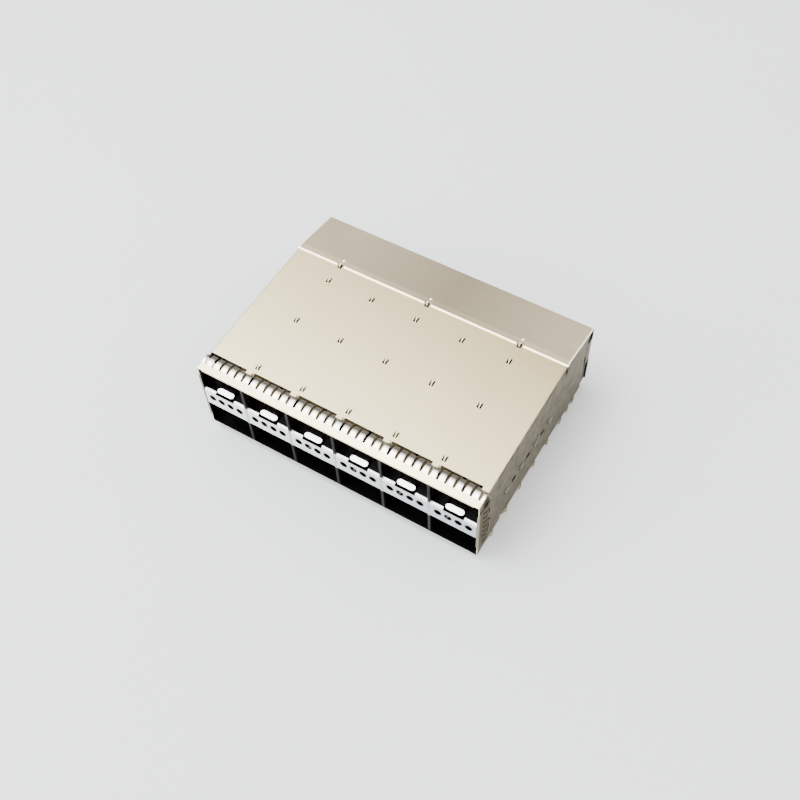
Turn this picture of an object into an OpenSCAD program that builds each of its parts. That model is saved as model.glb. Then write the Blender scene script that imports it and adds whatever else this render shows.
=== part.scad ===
// Stacked two-row small form-factor pluggable cage, for press-fit mounting on a printed circuit board.
// X runs across the ports, Y runs from the port mouths to the back, Z is up from the board.
// The origin lies on the board plane, midway across the cage, level with the nose of the front springs.

/* [Ports] */
// Number of port columns
cols = 6; // [2:1:6]
// Distance between the centres of neighbouring columns
port_pitch = 14.25; // [14.25:0.05:16]
// Clear height of one port
port_h = 8.95; // [8.6:0.05:10.5]
// Height of the band between the lower and the upper port
band_h = 7; // [6.4:0.1:9]

/* [Sheet metal] */
// Thickness of the sheet that the walls are folded from
sheet = 0.25; // [0.2:0.01:0.32]
// Outer radius of the folds
fold_r = 0.5; // [0.4:0.05:0.9]
// Depth of the whole cage
cage_d = 65.6; // [63:0.2:75]
// Distance from the front to the lap between top plate and rear cover
seam_y = 48.65; // [47:0.05:50]
// Length that the rear cover laps over the top plate
lap_l = 2.2; // [1.8:0.1:3.5]
// Height lost between the lap and the back of the rear cover
rear_drop = 2.3; // [1.2:0.1:3]

/* [Front springs] */
// Thickness of the spring strip
strip_t = 0.15; // [0.1:0.01:0.2]
// Fingers over the width of one column
fingers = 6; // [4:1:8]
// Width of the slit between two fingers
slit_w = 0.7; // [0.3:0.05:0.9]
// Depth of the plain band in front of the fingers
band_l = 2.1; // [1.6:0.1:3]
// Length of a finger
finger_l = 3.4; // [2.6:0.1:3.8]
// Height that a finger bulges above the sheet
finger_rise = 0.5; // [0.3:0.05:1.2]
// Share of its length at which a finger comes down to the sheet
tip_share = 0.93; // [0.9:0.01:0.97]
// Length of the leg that grips the inside of the sheet
leg_l = 2.4; // [1.6:0.1:3]
// Distance from the front to the rear edge of the windows under the fingers
window_end = 6.3; // [6.3:0.1:7]
// Width of the sheet left between two windows
web_w = 1.8; // [1.4:0.1:3]
// Distance that a strip's grip stops short of each corner of the mouth
corner_gap = 1.5; // [1.2:0.1:2.5]

/* [Separator] */
// Radius of the ramp above the indicator face
ramp_r = 0.7; // [0.6:0.05:1.4]
// Diameter of an indicator hole
lamp_d = 1.95; // [1:0.05:2.4]
// Distance between neighbouring indicator holes
lamp_pitch = 3; // [2.6:0.05:3.2]
// Height of the indicator holes above the lower edge of the band
lamp_z = 3.8; // [2:0.1:4.2]
// Width of a latch tongue across its round-ended tip
tongue_w = 5.2; // [4.4:0.1:7]
// Width of the tongue behind its tip
neck_w = 4; // [3.4:0.1:4.4]
// Length of the level tip
tip_l = 1.6; // [1:0.1:2]
// Distance that the tip lies behind the indicator face
tip_y = 0.2; // [0:0.05:0.5]
// Length of a latch tongue from its root to its tip
tongue_l = 12; // [9:0.5:16]
// Height that a latch tongue rises into the port
tongue_rise = 1; // [0.5:0.05:1.2]
// Gap round a latch tongue
tongue_gap = 0.35; // [0.2:0.05:0.5]
// Depth of the notch under the tip of the upper tongue
notch_h = 0.5; // [0.3:0.05:0.6]
// Distance that the lower tongue lies behind the upper one
lower_back = 1; // [0.8:0.1:2]
// Width of the three-cornered latch hole
latch_w = 2.4; // [1.6:0.1:2.6]
// Depth of the latch hole
latch_l = 2; // [1.4:0.1:2.4]

/* [Locking tabs of the separators] */
// Distance from the front to the middle of the first locking tab
hook_y = 15.5; // [13:0.5:18]
// Distance between two locking tabs on the same side
hook_pitch = 8.2; // [7:0.1:10]
// Length of a locking tab
hook_l = 2; // [1.2:0.1:2.4]
// Distance that a locking tab reaches out of the wall
hook_out = 0.45; // [0.3:0.05:0.6]
// Height of a locking tab above the lower edge of the band
hook_up = 2.1; // [1.6:0.1:3]
// Height of the slots that the locking tabs pass through
hook_slot_h = 1.5; // [1:0.1:1.6]
// Length of the flange beside a locking tab, on each side
hook_rim = 0.4; // [0.2:0.1:0.8]

/* [Tabs of the dividers] */
// Distances from the front to the tabs that pass through the top plate
tab_ys = [8.4, 26.7, 42.9];
// Length of a tab
tab_l = 1.5; // [1:0.1:2]
// Height that a tab stands above the top plate
tab_rise = 0.45; // [0.3:0.05:0.8]
// Turn of the tab heads that locks them
tab_turn = 14; // [5:1:25]
// Width of the slots in the top plate
tab_slot_w = 1.3; // [0.9:0.05:1.8]
// Clearance at each end of those slots
tab_slot_gap = 0.2; // [0.1:0.05:0.4]
// Length of the taller tabs at the seam
seam_tab_l = 1.2; // [0.8:0.1:1.6]
// Height that the tabs at the seam stand above the top plate
seam_tab_rise = 0.9; // [0.6:0.05:1.2]
// Distance from the seam to the middle of its tabs
seam_tab_back = 0.15; // [0.1:0.05:0.4]
// Width of the notch in the rear cover round a seam tab
seam_notch_w = 2.2; // [1.6:0.1:3]
// Depth of that notch
seam_notch_l = 1.3; // [1:0.1:1.6]
// Diameter of the boss pressed up behind each notch
boss_d = 0.9; // [0.5:0.1:1.2]
// Height of the boss
boss_h = 0.3; // [0.1:0.05:0.4]

/* [Side walls] */
// Distance that the side walls stop short of the back
wall_inset = 4; // [3:0.1:6]
// Distance that the upper part of a side wall reaches further back
wall_step_l = 0.6; // [0.4:0.1:1]
// Height of that step
wall_step_z = 14; // [12:0.5:17]
// Height of the lower edge of the rear cover's side flanges
flange_z = 9.5; // [7:0.5:12]
// Height of the side flanges
flange_h = 9; // [5:0.5:10]
// Height of the relief slot beside a top corner
relief_h = 1.7; // [1:0.1:2.4]
// Length of the relief slot
relief_l = 2.9; // [2:0.1:3.5]
// Distance from the front to the notch in the foot of a side wall
foot_notch_y = 12.6; // [11:0.1:14]
// Length of the foot notch
foot_notch_l = 1.4; // [1:0.1:2]
// Height of the foot notch
foot_notch_h = 1.8; // [1:0.1:2.5]
// Length of the hole in a side wall under the seam
lap_hole_l = 1.5; // [1:0.1:2]
// Height of that hole
lap_hole_h = 2.7; // [1.5:0.1:3.5]
// Distance from the seam back to the rear edge of that hole
lap_hole_back = 0.6; // [0.4:0.1:1]

/* [Clips of the dividers] */
// Width of a clip's nose
clip_w = 0.75; // [0.75:0.05:1.1]
// Depth of the nose
clip_l = 1.15; // [0.8:0.05:1.6]
// Length of a clip's bowed legs
clip_leg_l = 3.4; // [2.6:0.1:4]
// Height that the legs bow out
clip_bow = 0.55; // [0.3:0.05:0.6]

/* [Board pins] */
// Length of a pin below the board plane
pin_l = 3; // [2.4:0.1:3.6]
// Width of a pin across its eye
eye_w = 1.3; // [1:0.05:1.6]
// Length of the eye
eye_l = 2; // [1.4:0.1:2.2]
// Width of the slit in the eye
needle_w = 0.5; // [0.3:0.05:0.6]
// Width of a pin's shank
shank_w = 0.7; // [0.5:0.05:0.9]
// Distance from the front to the first pin
pin_y = 8.5; // [8:0.1:10]
// Distance between two pins along a wall
pin_pitch = 8.2; // [7:0.1:10]
// Distance from the front to the extra pin of each side wall
extra_pin_y = 54; // [52:0.5:56]

/* [Connectors] */
// Distance from the front to the face of the connector housings
housing_y = 47.5; // [46.5:0.1:48.5]
// Gap round a housing
housing_gap = 0.2; // [0.1:0.05:0.3]
// Length of the noses that reach into the ports
nose_l = 4; // [3:0.1:5]
// Width of a nose
nose_w = 11.9; // [10.4:0.1:12.4]
// Height of a nose
nose_h = 5.4; // [4:0.1:6]
// Distance from the bottom plate to the noses
nose_gap = 1; // [0.5:0.1:2]
// Width of the slot for a module's card edge
card_w = 9.5; // [9.3:0.05:9.8]
// Height of that slot
card_h = 1.4; // [1.2:0.05:1.8]
// Depth of that slot
card_d = 5.5; // [4.5:0.1:7]
// Distance from the separator to the middle of the slot
card_z = 4; // [3.6:0.05:4.6]
// Contacts in one row
contacts_n = 10; // [6:1:10]
// Distance between neighbouring contacts
contact_pitch = 0.8; // [0.7:0.05:0.9]
// Width of a contact
contact_w = 0.36; // [0.2:0.02:0.5]
// Thickness of a contact
contact_t = 0.18; // [0.1:0.02:0.25]
// Distance that the contacts lie behind the mouth of the slot
contact_back = 0.8; // [0.4:0.1:1.2]
// Length of a contact tail below the board plane
tail_l = 2.2; // [1.6:0.1:2.4]
// Distance from the face of the housing to the first row of tails
tail_y = 4; // [3.5:0.1:5]
// Distance between two rows of tails
tail_pitch = 2.6; // [2:0.1:3]
// Height of the pocket that the tails come out of
pocket_h = 0.5; // [0.3:0.1:1]
// Margin of the pocket round the tails
pocket_rim = 1; // [0.6:0.1:1.2]
// Diameter of a locating peg
peg_d = 1.55; // [1:0.05:1.8]
// Length of a locating peg
peg_l = 1.5; // [1:0.1:2.2]
// Distance from the face of the housing to the pegs
peg_y = 2; // [1.5:0.1:2.2]
// Distance between the two pegs of a housing
peg_pitch = 10.8; // [10:0.1:11.4]

/* [Fits] */
// Gap between sheets that slide past each other
fit = 0.05; // [0.03:0.01:0.1]
// Gap where two bent edges of the rear corner face each other
corner_slit = 0.5; // [0.3:0.05:0.8]

/* [Hidden] */
cut = 1;                     // overshoot of every cutting shape
fold_n = 8;                  // flats in a quarter fold
curve_n = 14;                // flats in a bowed spring
$fn = 32;

// Overall sizes
cage_w = cols * port_pitch + sheet;
port_w = port_pitch - sheet;
band_z = sheet + port_h;             // lower edge of the band between the ports
floor_z = band_z + band_h;           // floor of the upper ports
ceiling_z = floor_z + port_h;        // underside of the top plate
cage_h = ceiling_z + sheet;
sheet_y = strip_t;                   // front edge of all sheets, behind the strips' noses
function column_x(i) = (i - (cols + 1) / 2) * port_pitch;
function wall_x(i) = (i - cols / 2) * port_pitch;

// Spring fingers: the short slits over the webs lie half a finger to the left of the dividers
finger_pitch = port_pitch / fingers;
function web_x(i) = wall_x(i) - finger_pitch / 2;
function window_x0(i, rim) = max(web_x(i - 1) + web_w / 2, rim - cage_w / 2);
top_rim = fold_r;                                      // least distance of the windows from a corner
bottom_rim = 2 * fold_r;
side_fingers = 2 * floor((cage_h / 2 - corner_gap) / finger_pitch);
window_y = band_l + fit;
low_y = band_l + (2 * tip_share - 1) * finger_l;       // behind here the fingers come down to the sheet
grip = strip_t + 2 * fit;                              // room for a strip's inner leg beside a sheet

// Underside of the rear cover, level over the lap and sloping behind it
lap_y = seam_y + lap_l;
cover_in_y = cage_d - sheet;                     // front face of the back wall
slope = (rear_drop + sheet) / (cover_in_y - lap_y);
function cover_z(y) = cage_h - max(0, y - lap_y) * slope;
ceiling_end_y = lap_y + (sheet - fit) / slope;   // where the cover comes down to the ceiling

// Rear edges of the sheets inside
wall_y = cage_d - wall_inset;
plate_y = housing_y - nose_l - nose_gap;
divider_y = cover_in_y - fit;

// Rows of pins
side_pins = concat([for (y = [pin_y:pin_pitch:wall_y - eye_w]) y], [extra_pin_y]);
divider_pins = [for (y = [pin_y:pin_pitch:divider_y - eye_w]) y];

// Locking tabs: the right and the left series of each separator take turns
hook_z = band_z + hook_up;
right_hooks = [for (y = [hook_y:hook_pitch:plate_y - hook_l]) y];
left_hooks = [for (y = [hook_y + hook_pitch / 2:hook_pitch:plate_y - hook_l]) y];

// Seam tabs stand on every second divider
seam_tab_y = seam_y + seam_tab_back;
function has_seam_tab(i) = i % 2 == 1;

// Middle heights of the two card slots, and places of the four rows of tails
card_zs = [band_z - card_z, floor_z + card_z];
tail_ys = [for (k = [0:3]) housing_y + tail_y + tail_pitch * k];

function arc(x, y, r, a0, a1) =
    [for (i = [0:fold_n]) let (a = a0 + (a1 - a0) * i / fold_n) [x + r * cos(a), y + r * sin(a)]];
function reversed(points) = [for (i = [len(points) - 1:-1:0]) points[i]];
function moved(points, step) = [for (p = points) p + step];

// Extrudes a drawing of (y, z) symmetrically across X
module across(width) {
    rotate([90, 0, 90]) linear_extrude(width, center = true) children();
}

// Extrudes a drawing of (x, z) along Y
module along(y0, y1) {
    translate([0, y1, 0]) rotate([90, 0, 0]) linear_extrude(y1 - y0) children();
}

// Box between two heights and two depths, centred on x
module block(width, y0, y1, z0, z1, x = 0) {
    translate([x - width / 2, y0, z0]) cube([width, y1 - y0, z1 - z0]);
}

// The same thing on the right and on the left
module both_sides() {
    children();
    mirror([1, 0, 0]) children();
}

// Outline with two curved sides that meet in points
module lens(length, width) {
    r = (length * length + width * width) / (4 * width);
    intersection() {
        translate([r - width / 2, 0]) circle(r);
        translate([width / 2 - r, 0]) circle(r);
    }
}

// Eye-of-needle pin in the sheet plane (y, z), from height top down to its tip
module pin(top, turn = 0) {
    shank = shank_w / 2;
    rotate([0, 0, turn]) across(sheet) difference() {
        union() {
            polygon([[-shank, top], [-shank, shank - pin_l], [-shank / 2, -pin_l],
                     [shank / 2, -pin_l], [shank, shank - pin_l], [shank, top]]);
            translate([0, -pin_l / 2]) lens(eye_l, eye_w);
        }
        translate([0, -pin_l / 2]) lens(eye_l - eye_w / 2, needle_w);
    }
}

// Slots that the locking tabs of both series pass through
module hook_slots(x) {
    half = hook_l / 2 + fit;
    top = hook_z + sheet + fit;
    for (y = concat(right_hooks, left_hooks))
        block(sheet + cut, y - half, y + half, top - hook_slot_h, top, x = x);
}

// ---------------------------------------------------------------- spring strips

// Bowed finger (y, z) over a sheet whose outer face is z = 0, dipping into the window at its tip
module finger_section() {
    rise = [for (i = [0:curve_n]) let (u = i / curve_n)
            [band_l + u * finger_l, finger_rise * sin(180 * u / tip_share)]];
    polygon(concat([[0, 0]], rise, reversed(moved(rise, [0, strip_t])), [[0, strip_t]]));
}

// Nose round the front edge of the sheet, with a leg along its inside
module grip_section() {
    inner = -sheet - fit - strip_t;
    polygon([[0, strip_t], [0, inner], [leg_l, inner], [leg_l, inner + strip_t],
             [strip_t, inner + strip_t], [strip_t, strip_t]]);
}

// Strip along X, slit at slit_xs, with its tips cut short over each [left, right] of the webs
module spring_strip(length, slit_xs, webs) {
    difference() {
        across(length) finger_section();
        for (x = slit_xs)
            block(slit_w, band_l, band_l + finger_l + cut, -cut, finger_rise + cut, x = x);
        for (web = webs)
            block(web[1] - web[0] + 2 * fit, low_y, band_l + finger_l + cut, -cut, finger_rise + cut,
                  x = (web[0] + web[1]) / 2);
    }
    across(length - 2 * corner_gap) grip_section();
}

// Level strip over a sheet whose windows keep a distance rim from the corners
module spring_strip_across(rim) {
    half = cage_w / 2;
    webs = [for (i = [0:cols])
            [i == 0 ? -half : web_x(i) - web_w / 2,
             i == 0 ? window_x0(1, rim) : i == cols ? half : web_x(i) + web_w / 2]];
    spring_strip(cage_w - sheet, [for (k = [1:cols * fingers]) web_x(0) + k * finger_pitch], webs);
}

module spring_strip_top() {
    color("ghostwhite") translate([0, 0, cage_h]) spring_strip_across(top_rim);
}

module spring_strip_bottom() {
    color("silver") mirror([0, 0, 1]) spring_strip_across(bottom_rim);
}

module spring_strip_side(side) {
    half = side_fingers / 2;
    color("dimgray") mirror([side < 0 ? 1 : 0, 0, 0])
        translate([cage_w / 2, 0, cage_h / 2]) rotate([0, 90, 0])
            spring_strip(side_fingers * finger_pitch, [for (k = [1 - half:half - 1]) k * finger_pitch],
                         [[-web_w / 2, web_w / 2]]);
}

// ---------------------------------------------------------------- folded housing

// Inverted U (x, z) of top plate and side walls
module shell_section() {
    x = cage_w / 2;
    c = x - fold_r;
    polygon(concat(
        [[-x, 0]], arc(-c, cage_h - fold_r, fold_r, 180, 90),
        arc(c, cage_h - fold_r, fold_r, 90, 0), [[x, 0], [x - sheet, 0]],
        arc(c, cage_h - fold_r, fold_r - sheet, 0, 90),
        arc(-c, cage_h - fold_r, fold_r - sheet, 90, 180), [[sheet - x, 0]]));
}

// Side view (y, z) of the same shell, with its stepped and sloping rear
module shell_outline() {
    step_y = wall_y + wall_step_l;
    polygon([[sheet_y, 0], [wall_y, 0], [wall_y, wall_step_z], [step_y, wall_step_z],
             [step_y, cover_z(step_y) - fit], [lap_y, cage_h], [sheet_y, cage_h]]);
}

// Windows in a level plate, one behind the mouth of each column
module finger_windows(y0, z0, z1, rim) {
    for (i = [1:cols]) {
        x0 = window_x0(i, rim);
        x1 = web_x(i) - web_w / 2;
        block(x1 - x0, y0, window_end, z0, z1, x = (x0 + x1) / 2);
    }
}

// Slot for one divider tab
module tab_slot(x, y, length) {
    half = length / 2 + tab_slot_gap;
    block(tab_slot_w, y - half, y + half, ceiling_z - cut, cage_h + cut, x = x);
}

// Openings in the right side wall
module side_openings() {
    wall = sheet + cut;
    x = (cage_w - sheet) / 2;
    middle = cage_h / 2;
    half = side_fingers * finger_pitch / 2;
    for (z = [[middle - half, middle - web_w / 2], [middle + web_w / 2, middle + half]])
        block(wall, low_y, window_end, z[0], z[1], x = x);
    block(wall, window_y, window_y + relief_l, cage_h - fold_r - relief_h, cage_h - fold_r, x = x);
    block(wall, foot_notch_y, foot_notch_y + foot_notch_l, -cut, foot_notch_h, x = x);
    block(wall, seam_y + lap_hole_back - lap_hole_l, seam_y + lap_hole_back,
          cage_h - fold_r - lap_hole_h, cage_h - fold_r, x = x);
    hook_slots(x);
}

module top_shell() {
    color("gainsboro") {
        difference() {
            intersection() {
                along(0, cage_d) shell_section();
                across(cage_w + cut) shell_outline();
            }
            // the top plate ends under the lap of the rear cover
            block(cage_w - 2 * sheet, lap_y, cage_d, cage_h - fold_r, cage_h + cut);
            finger_windows(window_y, ceiling_z - cut, cage_h + cut, top_rim);
            for (i = [1:cols - 1]) {
                for (y = tab_ys) tab_slot(wall_x(i), y, tab_l);
                if (has_seam_tab(i)) tab_slot(wall_x(i), seam_tab_y, seam_tab_l);
            }
            both_sides() side_openings();
        }
        both_sides() for (y = side_pins)
            translate([(cage_w - sheet) / 2, y, 0]) pin(sheet);
    }
}

module bottom_plate() {
    color("silver") difference() {
        block(cage_w - 2 * sheet - 2 * fit, sheet_y, plate_y, 0, sheet);
        finger_windows(low_y, -cut, sheet + cut, bottom_rim);
        for (i = [1:cols - 1], y = divider_pins)
            if (y < plate_y)
                block(sheet + 2 * fit, y - shank_w / 2 - fit, y + shank_w / 2 + fit, -cut, sheet + cut,
                      x = wall_x(i));
    }
}

// Side view (y, z) of the rear cover: lap, slope, fold and back wall
module cover_section() {
    tilt = atan(slope);
    fold_y = cage_d - fold_r;
    fold_z = cover_z(fold_y) + sheet - fold_r / cos(tilt);
    polygon(concat(
        [[seam_y, cage_h], [lap_y, cage_h], [cover_in_y, cover_z(cover_in_y)], [cover_in_y, 0], [cage_d, 0]],
        arc(fold_y, fold_z, fold_r, 0, 90 - tilt),
        [[lap_y, cage_h + sheet], [seam_y, cage_h + sheet]]));
}

// Plan view (x, y) of the right flange, folded forward from the back wall
module flange_section() {
    x = cage_w / 2;
    cx = x - fold_r;
    cy = cage_d - fold_r;
    front_y = wall_y + wall_step_l + corner_slit;
    polygon(concat(
        arc(cx, cy, fold_r, 0, 90), [[cx - fold_r, cage_d], [cx - fold_r, cover_in_y]],
        arc(cx, cy, fold_r - sheet, 90, 0), [[x - sheet, front_y], [x, front_y]]));
}

module rear_cover() {
    color("silver") {
        difference() {
            across(cage_w) cover_section();
            for (i = [1:cols - 1])
                if (has_seam_tab(i))
                    block(seam_notch_w, seam_y - cut, seam_y + seam_notch_l, cage_h - cut, cage_h + cut,
                          x = wall_x(i));
            // room for the round folds of the flanges
            both_sides() block(fold_r + cut, cage_d - fold_r, cage_d + cut, flange_z, flange_z + flange_h,
                               x = (cage_w + cut - fold_r) / 2);
        }
        both_sides() translate([0, 0, flange_z]) linear_extrude(flange_h) flange_section();
        for (i = [1:cols - 1])
            if (has_seam_tab(i))
                translate([wall_x(i), seam_y + seam_notch_l + boss_d, cage_h + sheet]) boss();
        for (i = [1:cols])
            translate([column_x(i), cage_d - sheet / 2, 0]) pin(sheet, 90);
    }
}

// Shallow round boss, pressed up out of the cover
module boss() {
    r = (boss_d * boss_d / 4 + boss_h * boss_h) / (2 * boss_h);
    intersection() {
        translate([0, 0, boss_h - r]) sphere(r);
        translate([0, 0, -sheet / 2]) cylinder(d = boss_d, h = sheet + boss_h);
    }
}

// ---------------------------------------------------------------- dividers

module divider(i) {
    leg = leg_l + fit;
    color("lightgray") translate([wall_x(i), 0, 0]) {
        difference() {
            across(sheet) difference() {
                polygon([[sheet_y, sheet], [divider_y, sheet], [divider_y, cover_z(divider_y) - fit],
                         [ceiling_end_y, ceiling_z], [sheet_y, ceiling_z]]);
                // room for the inner legs of the top and the bottom strip
                for (z = [sheet - cut, ceiling_z - grip])
                    translate([0, z]) square([leg, grip + cut]);
            }
            hook_slots(0);
        }
        for (y = tab_ys) locking_tab(y, tab_l, tab_rise);
        if (has_seam_tab(i)) locking_tab(seam_tab_y, seam_tab_l, seam_tab_rise);
        for (y = divider_pins) translate([0, y, 0]) pin(2 * sheet);
    }
}

// Tab that passes the top plate, with its head turned to lock it
module locking_tab(y, length, rise) {
    neck = length * 0.6;
    block(sheet, y - neck / 2, y + neck / 2, ceiling_z - sheet, cage_h + 2 * fit);
    translate([0, y, cage_h]) rotate([0, 0, tab_turn]) block(sheet, -length / 2, length / 2, fit, rise);
}

// Plan view (x, y) of a clip's nose, with two short cheeks
module clip_section() {
    inner = clip_w / 2 - strip_t;
    difference() {
        translate([-clip_w / 2, 0]) square([clip_w, clip_l]);
        translate([-inner, strip_t]) square([2 * inner, clip_l]);
    }
}

// Plan view (x, y) of the right spring leg: it bows out and comes back to the divider
module clip_leg() {
    inner = clip_w / 2 - strip_t;
    seat = sheet / 2 + fit;
    bow = [for (i = [0:curve_n]) let (u = i / curve_n)
           [inner - u * (inner - seat) + clip_bow * sin(180 * u), clip_l + u * clip_leg_l]];
    root = [[inner, strip_t]];
    polygon(concat(root, bow, reversed(moved(concat(root, bow), [strip_t, 0]))));
}

module divider_clip(i) {
    margin = grip + fit;
    rows = floor((port_h - 2 * margin) / finger_pitch);
    color("gray") translate([wall_x(i), 0, 0]) {
        translate([0, 0, sheet + margin]) linear_extrude(cage_h - 2 * (sheet + margin)) clip_section();
        for (z0 = [sheet, floor_z], r = [1:rows])
            translate([0, 0, z0 + port_h / 2 + (r - (rows + 1) / 2) * finger_pitch])
                both_sides() linear_extrude(finger_pitch - slit_w, center = true) clip_leg();
    }
}

// ---------------------------------------------------------------- separators

// Side view (y, z) of the folded channel: lower plate, indicator face, ramp and upper plate
module separator_section() {
    rear = housing_y - fit;
    polygon(concat(
        [[rear, band_z], [rear, band_z + sheet]],
        arc(fold_r, band_z + fold_r, fold_r - sheet, 270, 180),
        arc(ramp_r, floor_z - ramp_r, ramp_r - sheet, 180, 90),
        [[rear, floor_z - sheet], [rear, floor_z]],
        arc(ramp_r, floor_z - ramp_r, ramp_r, 90, 180),
        arc(fold_r, band_z + fold_r, fold_r, 180, 270)));
}

// Side view (y, z) of a tongue: level tip, and a slope down to its root in the sheet
module tongue_section() {
    slope_y = tip_y + tip_l;
    slope = [for (i = [0:curve_n]) let (u = i / curve_n)
             [slope_y + u * (tongue_l - slope_y), tongue_rise * (1 + cos(180 * u)) / 2]];
    top = concat([[tip_y, tongue_rise]], slope, [[tongue_l + fold_r, 0]]);
    polygon(concat(top, reversed(moved(top, [0, -sheet]))));
}

// Plan view (x, y) of a tongue: round-ended tip, neck and three-cornered latch hole
module tongue_outline() {
    end_r = tip_l / 2;
    middle_y = tip_y + end_r;
    hole_y = tongue_l / 2;
    difference() {
        union() {
            both_sides() translate([tongue_w / 2 - end_r, middle_y]) circle(end_r);
            translate([end_r - tongue_w / 2, tip_y]) square([tongue_w - tip_l, tip_l]);
            translate([-neck_w / 2, middle_y]) square([neck_w, tongue_l]);
        }
        polygon([[-latch_w / 2, hole_y], [latch_w / 2, hole_y], [0, hole_y - latch_l]]);
    }
}

// Latch tongue on a plate whose port side is z = 0
module tongue() {
    intersection() {
        across(tongue_w) tongue_section();
        translate([0, 0, -sheet - cut]) linear_extrude(tongue_rise + sheet + 2 * cut) tongue_outline();
    }
}

// Side flange with its locking tab, on the right of the separator
module hook_flange(y) {
    inner = port_w / 2 - fit;
    half = hook_l / 2;
    block(sheet, y - half - hook_rim, y + half + hook_rim, band_z, hook_z + sheet, x = inner - sheet / 2);
    translate([inner - sheet, y - half, hook_z]) cube([2 * sheet + fit + hook_out, hook_l, sheet]);
}

module separator(i) {
    gap_w = tongue_w + 2 * tongue_gap;
    color("gainsboro") translate([column_x(i), 0, 0]) {
        difference() {
            across(port_w - 2 * fit) separator_section();
            for (k = [0:3])
                translate([(k - 1.5) * lamp_pitch, -cut, band_z + lamp_z]) rotate([-90, 0, 0])
                    cylinder(d = lamp_d, h = sheet + 2 * cut);
            block(gap_w, -cut, tongue_l, floor_z - notch_h, floor_z + cut);
            // the lower tongue lies behind the face
            block(gap_w, fold_r + fit, tongue_l + lower_back, band_z - cut, band_z + notch_h);
            // room for the clips and for the inner legs of the side strips
            both_sides() block(clip_w + 2 * fit, -cut, leg_l + fit, band_z - cut, floor_z + cut,
                               x = port_pitch / 2);
        }
        translate([0, 0, floor_z]) tongue();
        translate([0, lower_back, band_z]) mirror([0, 0, 1]) tongue();
        for (y = right_hooks) hook_flange(y);
        for (y = left_hooks) mirror([1, 0, 0]) hook_flange(y);
    }
}

// ---------------------------------------------------------------- connectors

// Side view (y, z) of a housing, which fills the room below the rear cover
module housing_section() {
    rear = cover_in_y - housing_gap;
    polygon([[housing_y, 0], [rear, 0], [rear, cover_z(rear) - housing_gap],
             [ceiling_end_y, ceiling_z - housing_gap], [housing_y, ceiling_z - housing_gap]]);
}

module connector_housing(i) {
    face_y = housing_y - nose_l;
    pocket_w = (contacts_n - 1) * contact_pitch + 2 * pocket_rim;
    color([0.08, 0.08, 0.09]) translate([column_x(i), 0, 0]) {
        difference() {
            union() {
                across(port_w - 2 * housing_gap) housing_section();
                for (z = card_zs)
                    block(nose_w, face_y, housing_y + nose_l, z - nose_h / 2, z + nose_h / 2);
            }
            for (z = card_zs)
                block(card_w, face_y - cut, face_y + card_d, z - card_h / 2, z + card_h / 2);
            block(pocket_w, tail_ys[0] - pocket_rim, tail_ys[3] + pocket_rim, -cut, pocket_h);
        }
        both_sides() translate([peg_pitch / 2, housing_y + peg_y, -peg_l])
            cylinder(d = peg_d, h = peg_l + peg_d);
    }
}

module contacts(i) {
    face_y = housing_y - nose_l;
    color("gold") translate([column_x(i), 0, 0])
        for (k = [0:contacts_n - 1]) {
            x = (k - (contacts_n - 1) / 2) * contact_pitch;
            for (z = card_zs, low = [z - card_h / 2, z + card_h / 2 - contact_t])
                block(contact_w, face_y + contact_back, face_y + card_d, low, low + contact_t, x = x);
            for (y = tail_ys)
                block(contact_t, y - contact_w / 2, y + contact_w / 2, -tail_l, pocket_h, x = x);
        }
}

top_shell();
rear_cover();
bottom_plate();
for (i = [1:cols - 1]) {
    divider(i);
    divider_clip(i);
}
for (i = [1:cols]) {
    separator(i);
    connector_housing(i);
    contacts(i);
}
spring_strip_top();
spring_strip_bottom();
spring_strip_side(-1);  // spring_strip_left
spring_strip_side(1);  // spring_strip_right
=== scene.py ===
# %% [markdown]
# # A stacked transceiver cage in folded sheet
# A cage like this is a box of thin bright sheet metal that stands on a circuit board. It holds two
# rows of pluggable modules. The solid pieces already exist as a imported frame, at their real size and
# place. What is left is the look: how the sheet was rolled, plated, cut and folded, how the springs
# shine and how the studio lights it. The first cell loads the frame and keeps its box, and the floor
# is laid at the lowest point of that box.

# %% Load the frame
import math

import bpy
from mathutils import Matrix, Vector


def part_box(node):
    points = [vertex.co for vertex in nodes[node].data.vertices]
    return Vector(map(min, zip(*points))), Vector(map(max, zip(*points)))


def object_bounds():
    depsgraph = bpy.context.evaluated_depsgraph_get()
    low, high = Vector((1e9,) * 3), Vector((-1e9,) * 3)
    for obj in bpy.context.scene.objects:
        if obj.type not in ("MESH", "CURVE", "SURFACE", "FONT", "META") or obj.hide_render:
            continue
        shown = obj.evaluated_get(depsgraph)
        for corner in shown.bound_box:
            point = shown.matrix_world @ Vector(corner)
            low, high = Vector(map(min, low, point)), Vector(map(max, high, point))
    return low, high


MM = 0.001

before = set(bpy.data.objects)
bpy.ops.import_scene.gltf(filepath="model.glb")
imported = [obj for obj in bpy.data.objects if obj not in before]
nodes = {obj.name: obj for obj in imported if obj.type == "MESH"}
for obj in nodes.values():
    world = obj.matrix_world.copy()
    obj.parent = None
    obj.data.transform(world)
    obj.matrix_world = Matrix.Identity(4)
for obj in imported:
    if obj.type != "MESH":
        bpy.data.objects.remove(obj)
cad_low, cad_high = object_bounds()
print("nodes:", len(nodes), "box in mm:", [round(v / MM, 2) for v in cad_high - cad_low])

# %% [markdown]
# ## Camera
# The cage is seen from above, in front and to the right, so that the top plate fills most of the
# view and the mouth shows below it. A camera is easiest to place by what it looks at: a target, the
# direction round the object, the height above it and the distance. A slight roll keeps the long
# edges at the slant that such product views have.

# %% Place the camera
TARGET = Vector((3.25, 27.62, 8.14)) * MM
DISTANCE = 300.5 * MM
AROUND, ABOVE, ROLL = math.radians(33.71), math.radians(56.08), math.radians(-3.41)
LENS = 48.5

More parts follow.
